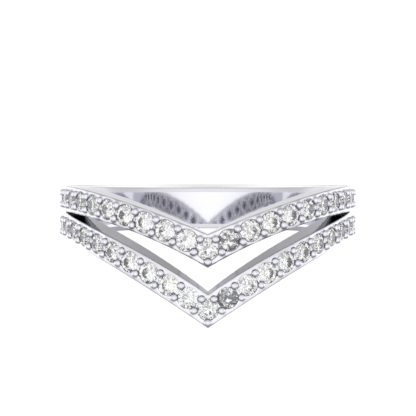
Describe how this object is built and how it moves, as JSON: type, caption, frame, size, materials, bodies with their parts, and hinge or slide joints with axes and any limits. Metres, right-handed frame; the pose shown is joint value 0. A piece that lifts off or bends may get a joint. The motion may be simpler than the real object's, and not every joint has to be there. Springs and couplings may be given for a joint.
{
  "type": "chevron ring",
  "caption": "Finger ring whose plain shank splits at the sides into two parallel V-shaped bands, each set with a row of small round stones held by shared beads.",
  "frame": {"origin": "on the finger hole's axis, in the plane of the shank's straight edge on which the ring lies", "axes": "+Z along the finger hole's axis towards the points of the chevrons, -Y towards the chevrons' tips, +X to the right as seen from the front"},
  "size_m": [0.0202, 0.0201, 0.0078],
  "materials": {
    "white_gold": "polished white gold",
    "stones": "colourless brilliants, faceted and polished"
  },
  "bodies": {
    "root": {"ring_casting": "white_gold", "low_chevron_stones": "stones", "high_chevron_stones": "stones"}
  },
  "joints": []
}
